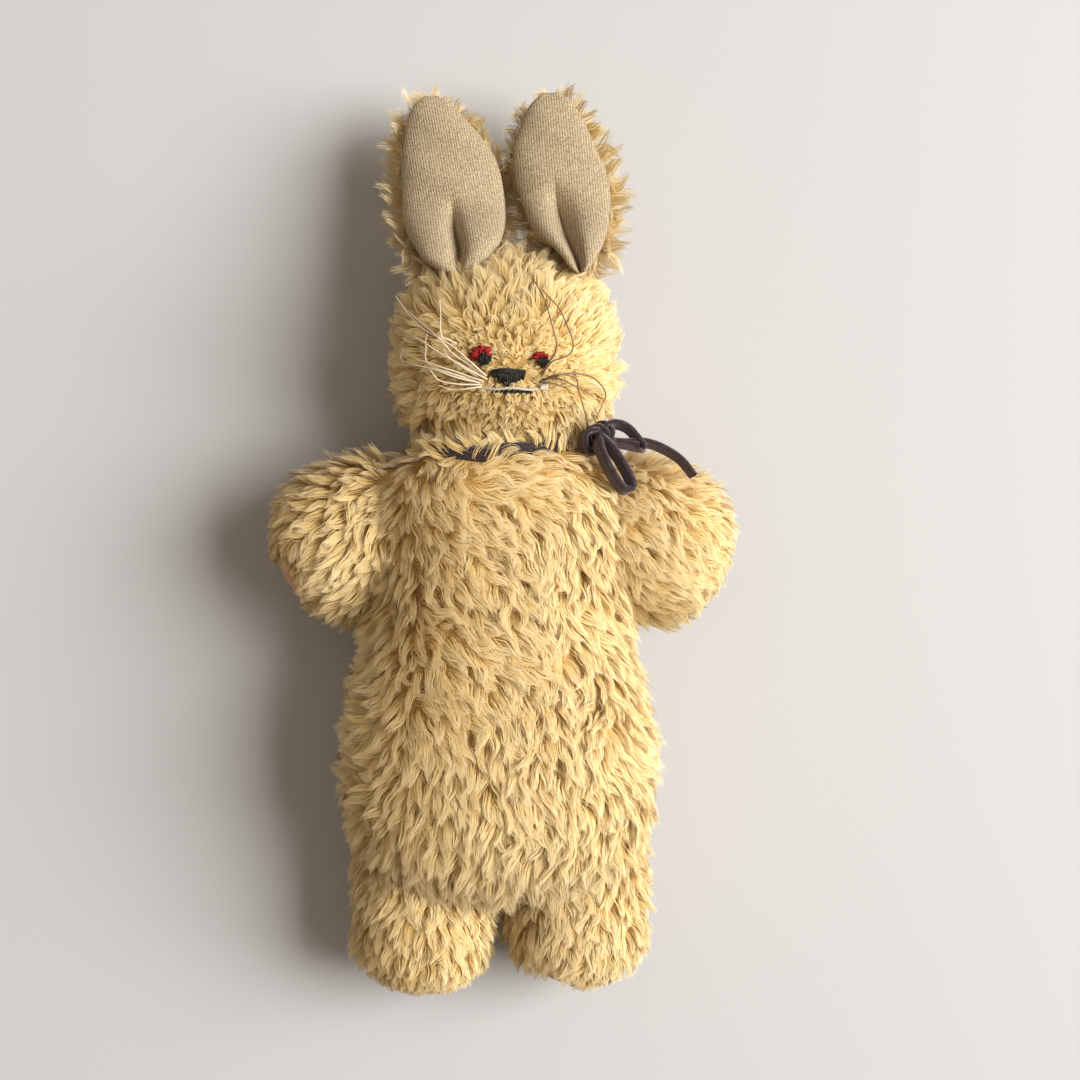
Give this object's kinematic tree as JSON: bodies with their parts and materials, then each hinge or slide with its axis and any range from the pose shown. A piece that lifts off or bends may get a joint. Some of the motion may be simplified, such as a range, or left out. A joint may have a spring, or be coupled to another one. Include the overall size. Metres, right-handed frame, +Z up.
{
  "type": "stuffed toy rabbit",
  "caption": "Soft stuffed rabbit in long curly cream fleece with jersey-lined ears, stitched face, thread whiskers and a velvet neck ribbon, lying on its back",
  "frame": {"origin": "middle of the toy's outline, on the flat surface that its back rests on", "axes": "+Z up out of the belly, +Y from the feet to the ears, +X to the toy's left hand (the right side seen from above)"},
  "size_m": [0.151, 0.2997, 0.0811],
  "materials": {
    "cream_pile_fleece": "matte",
    "beige_jersey": "matte",
    "fibre_stuffing": "matte",
    "plum_velvet_ribbon": "matte",
    "red_embroidery_thread": "matte",
    "dark_embroidery_thread": "matte",
    "white_thread": "matte",
    "waxed_whisker_thread": "matte"
  },
  "bodies": {
    "torso": {"bow_back_loop": "plum_velvet_ribbon", "bow_front_loop": "plum_velvet_ribbon", "bow_knot": "plum_velvet_ribbon", "bow_tail": "plum_velvet_ribbon", "neck_ribbon_band": "plum_velvet_ribbon", "torso_back_fleece": "cream_pile_fleece", "torso_front_fleece": "cream_pile_fleece", "torso_stuffing": "fibre_stuffing"},
    "neck": {"neck_stuffing": "fibre_stuffing"},
    "head": {"head_back_fleece": "cream_pile_fleece", "head_face_fleece": "cream_pile_fleece", "head_stuffing": "fibre_stuffing", "left_eye_dark_pupil": "dark_embroidery_thread", "left_eye_red_stitching": "red_embroidery_thread", "left_whiskers": "waxed_whisker_thread", "mouth_thread": "white_thread", "nose_stitching": "dark_embroidery_thread", "right_eye_dark_pupil": "dark_embroidery_thread", "right_eye_red_stitching": "red_embroidery_thread", "right_whiskers": "waxed_whisker_thread"},
    "left_ear": {"left_ear_back_fleece": "cream_pile_fleece", "left_ear_knit_front": "beige_jersey", "left_ear_padding": "fibre_stuffing"},
    "right_ear": {"right_ear_back_fleece": "cream_pile_fleece", "right_ear_knit_front": "beige_jersey", "right_ear_padding": "fibre_stuffing"},
    "left_arm": {"left_arm_back_fleece": "cream_pile_fleece", "left_arm_front_fleece": "cream_pile_fleece", "left_arm_stuffing": "fibre_stuffing"},
    "right_arm": {"right_arm_back_fleece": "cream_pile_fleece", "right_arm_front_fleece": "cream_pile_fleece", "right_arm_stuffing": "fibre_stuffing"},
    "left_leg": {"left_leg_back_fleece": "cream_pile_fleece", "left_leg_front_fleece": "cream_pile_fleece", "left_leg_stuffing": "fibre_stuffing"},
    "right_leg": {"right_leg_back_fleece": "cream_pile_fleece", "right_leg_front_fleece": "cream_pile_fleece", "right_leg_stuffing": "fibre_stuffing"}
  },
  "joints": [
    {"name": "head_turn", "type": "hinge", "parent": "torso", "child": "neck", "pos_m": [0, 0.0359, 0.037], "axis": [0, 1, 0], "range_deg": [-25, 25], "stiffness_Nm_per_rad": 0.4},
    {"name": "head_nod", "type": "hinge", "parent": "neck", "child": "head", "pos_m": [0, 0.0359, 0.037], "axis": [1, 0, 0], "range_deg": [-12, 12], "stiffness_Nm_per_rad": 0.6},
    {"name": "left_ear_fold", "type": "hinge", "parent": "head", "child": "left_ear", "pos_m": [-0.0125, 0.0925, 0.045], "axis": [0.9833, 0.1822, 0], "range_deg": [-5, 35], "stiffness_Nm_per_rad": 0.05},
    {"name": "right_ear_fold", "type": "hinge", "parent": "head", "child": "right_ear", "pos_m": [0.023, 0.0925, 0.045], "axis": [0.9942, 0.108, 0], "range_deg": [-5, 35], "stiffness_Nm_per_rad": 0.05},
    {"name": "left_arm_fold", "type": "hinge", "parent": "torso", "child": "left_arm", "pos_m": [-0.042, 0.004, 0.034], "axis": [-0.4695, 0.8829, 0], "range_deg": [-15, 40], "stiffness_Nm_per_rad": 0.2},
    {"name": "right_arm_fold", "type": "hinge", "parent": "torso", "child": "right_arm", "pos_m": [0.042, 0.004, 0.034], "axis": [-0.4695, -0.8829, 0], "range_deg": [-15, 40], "stiffness_Nm_per_rad": 0.2},
    {"name": "left_leg_fold", "type": "hinge", "parent": "torso", "child": "left_leg", "pos_m": [-0.025, -0.103, 0.026], "axis": [-1, 0, 0], "range_deg": [-10, 50], "stiffness_Nm_per_rad": 0.25},
    {"name": "right_leg_fold", "type": "hinge", "parent": "torso", "child": "right_leg", "pos_m": [0.025, -0.103, 0.026], "axis": [-1, 0, 0], "range_deg": [-10, 50], "stiffness_Nm_per_rad": 0.25}
  ]
}
